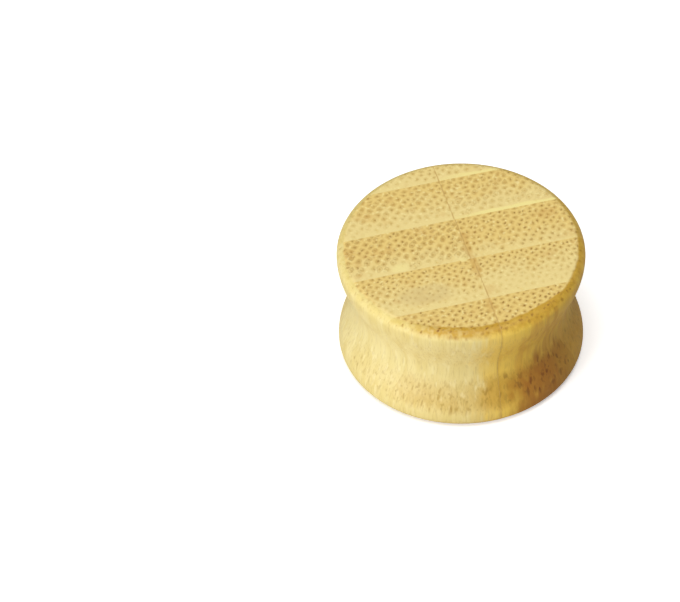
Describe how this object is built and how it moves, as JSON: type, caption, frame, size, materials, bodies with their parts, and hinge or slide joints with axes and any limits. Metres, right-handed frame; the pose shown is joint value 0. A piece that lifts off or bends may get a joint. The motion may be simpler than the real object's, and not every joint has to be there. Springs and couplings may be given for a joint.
{
  "type": "double-flared ear plug gauge",
  "caption": "Ear plug turned from laminated bamboo: a waisted saddle between flared ends seats in a stretched ear lobe, with rounded edges and flat end-grain faces.",
  "frame": {"origin": "centre of the flat face that the plug stands on", "axes": "+Z along the plug's axis and the bamboo's grain, +X along the long glue lines between the rows of strips"},
  "size_m": [0.025, 0.025, 0.0133],
  "materials": {
    "bamboo_pale": "sanded and oiled bamboo, satin",
    "bamboo_tan": "sanded and oiled bamboo, satin"
  },
  "bodies": {
    "root": {"strip_1_left": "bamboo_tan", "strip_1_right": "bamboo_tan", "strip_2_left": "bamboo_pale", "strip_2_right": "bamboo_pale", "strip_3_left": "bamboo_tan", "strip_3_right": "bamboo_tan", "strip_4_left": "bamboo_pale", "strip_4_right": "bamboo_pale", "strip_5_left": "bamboo_pale", "strip_5_right": "bamboo_pale"}
  },
  "joints": []
}
